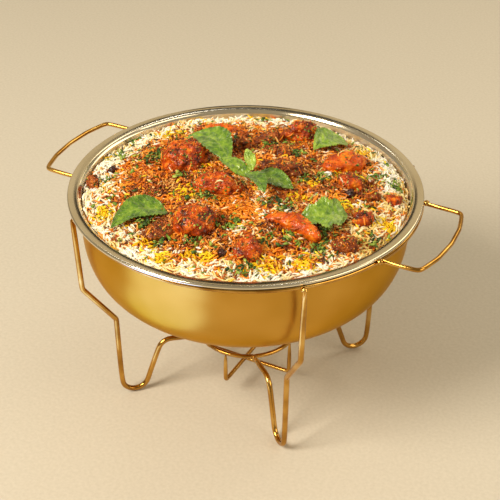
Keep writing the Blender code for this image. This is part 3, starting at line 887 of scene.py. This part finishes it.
rice_stops = {
    "plain": [(0.0, "F0D07A"), (0.35, "FAE6B4"), (0.65, "FEF8E6"), (1.0, "FFFEF6")],
    "saffron": [(0.0, "E8A808"), (0.5, "FACF10"), (1.0, "FFE83C")],
    "masala": [(0.0, "9A4410"), (0.22, "BE5E12"), (0.42, "E07C14"), (0.62, "F0941E"), (0.8, "F6B85A"),
               (1.0, "FCE0BC")],
    "browned": [(0.0, "54240A"), (0.35, "8A4412"), (0.7, "B26C26"), (1.0, "D29A4C")],
}
MOST_GRAINS = 4900
for kind, places in kinds.items():
    surface = toned_material(f"cooked_rice_{kind}", rice_stops[kind], 3, 0.5, Roughness=0.42, IOR=1.42,
                             Subsurface_Weight=0.3, Subsurface_Radius=(1.0, 0.8, 0.45), Subsurface_Scale=1.5 * MM)
    shades = np.array([shade for place, shade in places])
    places = np.array([place for place, shade in places])
    for part, start in enumerate(range(0, len(places), MOST_GRAINS)):
        some = places[start:start + MOST_GRAINS]
        name = f"grains_{kind}" + (f"_{part + 1}" if len(places) > MOST_GRAINS else "")
        piece = copies(name, grains, some, shades[start:start + MOST_GRAINS])
        finish_piece(piece, [surface], "cooked_rice")
        print(f"{name}: {len(some)} grains, {len(piece.data.polygons)} triangles")

# %% [markdown]
# ## The chicken
#
# Tandoori chicken is meat in a thick red marinade, roasted until the marinade sets and
# chars at the edges. Each solid gives a lump its place and form. Its copy is subdivided, then
# pushed about by four noises: chunks 15 mm across, folds of 6 and 3 mm, and the grain of the
# crust at 1.6 mm. Noises colour it too: the marinade, the charred places and fine specks.
# A thin coat stands for the oil on it.

# %% Crust materials
def crust_material(name, stops, char, gloss):
    made, add, here = new_material(name, IOR=1.45, Specular_IOR_Level=0.3, Coat_Weight=gloss, Coat_Roughness=0.16)
    folds = add("TexNoise", {"Vector": here, "Scale": scale_of(9), "Detail": 5.0, "Roughness": 0.6})
    marinade = add("ValToRGB", {"Fac": folds}, stops=stops)
    burnt = add("TexNoise", {"Vector": here, "Scale": scale_of(12), "Detail": 6.0, "Roughness": 0.7})
    share = add("MapRange", {"Value": burnt, "From Min": char, "From Max": char + 0.1})
    charred = add("Mix", {"Factor": share, 6: marinade, 7: linear("2E120B")}, data_type="RGBA")
    specks = add("TexNoise", {"Vector": here, "Scale": scale_of(1.3), "Detail": 3.0})
    share = add("MapRange", {"Value": specks, "From Min": 0.58, "From Max": 0.7, "To Max": 0.7})
    add("Mix", {"Factor": share, 6: charred, 7: linear("5A1E0C")}, data_type="RGBA", to="Base Color")
    add("MapRange", {"Value": specks, "To Min": 0.3, "To Max": 0.62}, to="Roughness")
    add("Bump", {"Height": specks, "Strength": 0.5, "Distance": 0.5 * MM}, to="Normal")
    return made


# Each crust has its tones, the noise above which it is charred, its gloss, and how rough the meat is.
CRUSTS = {
    "chicken_red": ("red_tandoori_crust", [(0.35, "561604"), (0.45, "A43A06"), (0.55, "CE5606"), (0.67, "F29020")],
                    0.53, 0.24, 1.0),
    "chicken_orange": ("orange_tandoori_crust", [(0.35, "A03606"), (0.5, "D65A06"), (0.67, "F28E1A")],
                       0.63, 0.32, 0.55),
    "chicken_browned": ("browned_crust", [(0.35, "441A0A"), (0.5, "8A4012"), (0.67, "C0702A")],
                        0.54, 0.15, 1.25),
}
crusts = {slot: crust_material(*row[:4]) for slot, row in CRUSTS.items()}
print(f"crusts for {', '.join(crusts)}")

# %% Roughen each piece of chicken
# The size and strength of each noise in mm, its kind, and the level that moves nothing.
FOLDS = [(15, -5.5, "VORONOI", 0.42), (6, 2.8, "CLOUDS", 0.5), (3.2, -1.4, "VORONOI", 0.42), (1.6, 0.7, "CLOUDS", 0.5)]
meats = []
for node in chicken_nodes:
    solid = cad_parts[node]
    slot = solid.data.materials[0].name.split(".")[0] if solid.data.materials else ""
    if slot not in CRUSTS:
        slot = "chicken_red"
    low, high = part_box(node)
    meat = copy_node(node, f"{node}_meat")
    edit_all(meat, lambda: bpy.ops.mesh.tris_convert_to_quads(),
             lambda: bpy.ops.transform.shrink_fatten(value=0.05 * (high - low).length))
    subdivide(meat, 4)
    for size_mm, strength_mm, kind, middle in FOLDS:
        roughen(meat, size_mm, CRUSTS[slot][4] * strength_mm, kind, texture_coords="LOCAL", mid_level=middle)
    finish_piece(meat, [crusts[slot]], slot, node)
    meats.append((meat, slot))
print(f"{len(chicken_nodes)} pieces of chicken")

# %% [markdown]
# ## Whole spices
#
# Peppercorns and dried berries are round, dark and wrinkled. A welded copy of each solid is
# subdivided and creased with a fine noise.

# %% Dark spices
tones = [(0.35, "180C0A"), (0.65, "481A14")]
dark_spice, add, wrinkles = patterned("dried_whole_spice", 2, 4.0, tones, Roughness=0.28)
add("Bump", {"Height": wrinkles, "Strength": 0.6, "Distance": 0.4 * MM}, to="Normal")
for node in spice_nodes:
    berry = copy_node(node, f"{node}_berry")
    edit_all(berry, lambda: bpy.ops.transform.shrink_fatten(value=-0.3 * MM))
    subdivide(berry, 3)
    roughen(berry, 2.4, 2.4)
    finish_piece(berry, [dark_spice], "dark_spice", node)
print(f"{len(spice_nodes)} whole spices")

# %% [markdown]
# ## Masala crumbs, fried onion and herbs
#
# Between the grains lie crumbs of minced masala, strips of fried onion and chopped fresh
# coriander. A crumb or a scrap of leaf is a ball of twenty faces, dented or flattened and
# cut ragged. Each is modelled a few times over and copied like the grains.

# %% Model crumbs, scraps and strips
def nugget(name, size, dents, seed):
    """An uneven little ball, stretched to a size in millimetres, as arrays."""
    made = added(bpy.ops.mesh.primitive_ico_sphere_add, name, subdivisions=1, radius=0.5)
    for vertex in made.data.vertices:
        way = vertex.co.normalized()
        reach = 0.5 * (1 + dents * noise.noise(way * 2.3 + Vector((seed * 5.1, 0, 0))))
        vertex.co = way * Vector(size) * MM * reach
    return as_arrays(made)


crumbs = [nugget("crumb", (2.2, 1.7, 1.4), 1.2, seed) for seed in range(4)]
scraps = [nugget("scrap", (3.4, 2.2, 0.7), 1.6, seed) for seed in range(10, 15)]
scraps.append(rod("stem", 5 * MM, 0.9 * MM, 0.9 * MM, 0.4 * MM))
strips = [rod("strip", length * MM, 1.7 * MM, 0.8 * MM, bow * MM, 0.8) for length, bow in ((9, 2.4), (12, 3.2), (7, 1))]
print(f"{len(crumbs)} crumbs, {len(scraps)} scraps and {len(strips)} strips to copy")

# %% Where the herbs and crumbs lie
HERBS = [(0, -19, 6), (13, -1, 5), (-94, -1, 9), (-131, 31, 6), (-125, -5, 7), (-111, -45, 6),
         (-50, -24, 5), (-16, -46, 7), (-63, 13, 4), (-44, 30, 5), (-29, 130, 4), (-42, 111, 5),
         (-11, 62, 5), (18, 58, 5), (41, 22, 6), (55, 31, 7), (94, 63, 7), (108, 63, 6), (36, -27, 6),
         (46, -29, 6), (-46, -92, 6), (19, -70, 8), (1, -97, 6), (54, -108, 7), (-21, -107, 5),
         (52, -76, 6), (67, -60, 6), (88, -48, 7), (94, -61, 7), (126, -25, 5), (87, -36, 6)]


def scatter(count, wanted, lift, size):
    """Places drawn at random over the heap, kept with the chance that wanted(x, y) gives."""
    places = []
    for x, y in spread(count, HEAP_RADIUS - 3 * MM):
        if math.hypot(x - AXIS_X, y) > HEAP_RADIUS - 3 * MM or chance.random() > wanted(x, y):
            continue
        height = chance.uniform(*lift) * MM
        if is_free(x, y, heap_height(x, y) + height, 0.4 * MM):
            grow = chance.uniform(*size)
            places.append(np.array(lay(x, y, height, chance.uniform(0, math.tau), chance.normal(0, 0.45),
                                       chance.normal(0, 0.5), (grow, grow * chance.uniform(0.8, 1.2), grow))))
    return np.array(places)


def crumbly(x, y):
    """The chance of a crumb at a place: high in the masala, lower where it is orange."""
    return 0.012 + masala(x, y) * (0.35 + 0.5 * patchy(x, y, BROWN)) * (1 - 0.7 * patchy(x, y, ORANGE))


crumb_places = scatter(15000, crumbly, (-0.4, 1.6), (0.5, 1.3))
herb_places = scatter(16000, lambda x, y: 0.03 + 0.85 * patchy(x, y, HERBS), (0.3, 3.0), (0.6, 1.6))
CHARRED = [(83, 24, 6), (47, -58, 6), (-63, 30, 6), (-60, -2, 5), (-26, 70, 7), (-6, 64, 6), (-30, -62, 5)]
char_places = scatter(7000, lambda x, y: 0.012 + 0.75 * patchy(x, y, CHARRED), (0.0, 2.4), (0.5, 1.3))
strip_places = scatter(900, lambda x, y: 0.25 * masala(x, y), (0.2, 1.2), (0.7, 1.2))
print(f"{len(crumb_places)} crumbs, {len(herb_places)} scraps of herb, {len(strip_places)} strips of onion")

# %% What sticks to the chicken
STANDS_OUT = 0.3 * MM   # the middle of a crumb above the crust


def stuck_on(obj, every_mm2, size):
    """Places all over the upper side of a piece, one for so many square millimetres."""
    mesh = obj.data
    faces = [f for f in mesh.polygons if f.normal.z > 0.05]
    areas = np.array([f.area for f in faces])
    count = int(areas.sum() / (every_mm2 * MM * MM))
    places = []
    for index in chance.choice(len(faces), size=count, p=areas / areas.sum()):
        face = faces[index]
        grow = chance.uniform(*size)
        turn = UP.rotation_difference(face.normal).to_matrix() @ Matrix.Rotation(chance.uniform(0, math.tau), 3, "Z")
        turn = turn @ Matrix.Rotation(chance.normal(0, 0.3), 3, "Y") @ Matrix.Diagonal((grow, grow, grow))
        place = turn.to_4x4()
        place.translation = face.center + face.normal * STANDS_OUT * grow
        places.append(np.array(place))
    return places


stuck_crumbs, stuck_herbs, stuck_grains = [], [], []
for meat, slot in meats:
    thickly = {"chicken_orange": 3.0, "chicken_browned": 0.6}.get(slot, 1.0)
    stuck_crumbs += stuck_on(meat, 9 * thickly, (0.35, 0.85))
    stuck_herbs += stuck_on(meat, 26 * (thickly + 1) / 2, (0.35, 0.75))
    stuck_grains += stuck_on(meat, 160, (0.7, 1.0))
crumb_places = np.concatenate([crumb_places, stuck_crumbs])
herb_places = np.concatenate([herb_places, stuck_herbs])
print(f"{len(stuck_crumbs)} crumbs, {len(stuck_herbs)} scraps and {len(stuck_grains)} grains on the chicken")

# %% Copy the small things
# Fried masala and onion are dark and crisp with an oily gleam; chopped leaves are dull. The
# tone of each copy and a fine noise keep any two from looking alike.
# Each row: a piece, its shapes and places, its slot, and its material with roughness and tones.
SMALL = [
    ("masala_crumbs", crumbs, crumb_places, "chicken_browned", "fried_masala", 0.45,
     [(0.0, "50200A"), (0.3, "92420E"), (0.6, "CC6414"), (0.85, "EA922C"), (1.0, "F6C07A")]),
    ("charred_crumbs", crumbs, char_places, "chicken_browned", "charred_masala", 0.35,
     [(0.0, "1A0E0A"), (0.5, "38180E"), (1.0, "6A2C16")]),
    ("coriander_scraps", scraps, herb_places, "mint_leaf", "chopped_coriander", 0.5,
     [(0.0, "1C340A"), (0.35, "40641A"), (0.65, "76962C"), (1.0, "B4C45A")]),
    ("onion_strips", strips, strip_places, "chicken_browned", "fried_onion", 0.4,
     [(0.0, "4A1E0A"), (0.5, "8E4412"), (1.0, "C27A26")]),
    ("grains_stuck", grains, np.array(stuck_grains), "cooked_rice", "cooked_rice_masala", None, None),
]
for name, shapes, places, slot, material, roughness, stops in SMALL:
    if stops:
        surface = toned_material(material, stops, 1.6, 0.6, 0.4, Roughness=roughness)
    else:
        surface = bpy.data.materials[material]
    piece = copies(name, shapes, places, chance.random(len(places)))
    finish_piece(piece, [surface], slot)
    print(f"{name}: {len(piece.data.polygons)} triangles")

# %% [markdown]
# ## Floor and light
#
# A plain pale floor and soft studio light. The key light is a large softbox up on the left.
# Two narrow strips behind give the polished rim its bright streaks, and a wide warm card
# behind them is what the rest of the rim mirrors. The bowl's gold side looks down at the
# floor, so a weak light lying there gives it its pale glow. A pale world fills the shadows.

# %% Floor
# Matt painted board: it takes soft shadows and has no gloss of its own.
pale_floor = patterned("pale_floor", 3, 3.0, [(0.3, "C9C3B6"), (0.7, "D2CCC0")], Roughness=0.65)[0]
ground = added(bpy.ops.mesh.primitive_plane_add, "floor", size=8, location=(0, 0, cad_low.z - 0.1 * MM))
ground.data.materials.append(pale_floor)
print(f"the floor lies at {ground.location.z * 1000:.1f} mm")

# %% Lights
# Directions as the camera sees them: to its right and away from it. Up is up.
TO_RIGHT = Vector((0.888, 0.460, 0))
AWAY = Vector((-0.460, 0.888, 0))
DISH_MIDDLE = Vector((0, 0, 0.15))


def softbox(name, right, away, up, width, height, watts, colour):
    """A softbox at a place in metres, turned to the dish. The camera does not see it."""
    place = TO_RIGHT * right + AWAY * away + UP * up
    light = added(bpy.ops.object.light_add, name, type="AREA", location=place)
    light.data.shape = "RECTANGLE"
    light.data.size, light.data.size_y = width, height
    light.data.energy = watts
    light.data.color = linear(colour)[:3]
    light.visible_camera = False
    light.rotation_euler = (DISH_MIDDLE - place).to_track_quat("-Z", "Y").to_euler()
    return light


softbox("key", -1.35, -0.85, 1.45, 0.9, 0.9, 52, "FFF2DC")
softbox("back_strip", -0.38, 1.32, 1.48, 0.28, 0.06, 0.45, "FFFFFF")
softbox("small_strip", 0.13, 1.32, 1.74, 0.18, 0.06, 0.35, "FFFFFF")
softbox("right_card", 0.95, 0.7, 1.2, 0.8, 0.8, 5, "FFF0D4")
softbox("back_card", 0.0, 2.0, 1.15, 3.2, 1.9, 5.5, "FFDC98")
softbox("fill", 1.6, -0.9, 1.1, 1.4, 1.0, 13, "FFEED2")
card = softbox("floor_card", -0.225, -0.215, 0.012, 0.25, 0.32, 0.52, "84B1FF")
card.rotation_euler = (math.pi, 0, 0)
card.data.shape = "ELLIPSE"
print(f"{len(bpy.data.lights)} lights")

# %% Black boards
# Polished steel shows only what stands round it. Two narrow black boards behind the dish draw
# the dark stretches of the rim, in the middle of its front and of its back.
# black card, which swallows the light that falls on it
black_card = patterned("black_card", 5, 2.0, [(0.3, "14110C"), (0.7, "1C1812")], Roughness=0.9)[0]
for name, right, up, width, height in (("black_board", -0.03, 1.95, 0.28, 1.2),
                                       ("low_board", -0.02, 0.75, 0.2, 0.66)):
    board = added(bpy.ops.mesh.primitive_plane_add, name, size=1)
    board.scale = (width, height, 1)
    board.rotation_euler = (math.radians(90), 0, math.atan2(TO_RIGHT.y, TO_RIGHT.x))
    board.location = TO_RIGHT * right + AWAY * 1.45 + UP * up
    board.data.materials.append(black_card)
    board.visible_camera = False
    print(f"{name}: {width:.2f} by {height:.2f} m")

# %% World
world = bpy.data.worlds.new("studio")
world.use_nodes = True
background = world.node_tree.nodes["Background"]
background.inputs["Color"].default_value = linear("E2D4B8")
background.inputs["Strength"].default_value = 0.47
print(f"world: {world.name}")
bpy.context.scene.world = world
bpy.context.scene.view_settings.view_transform = "Standard"
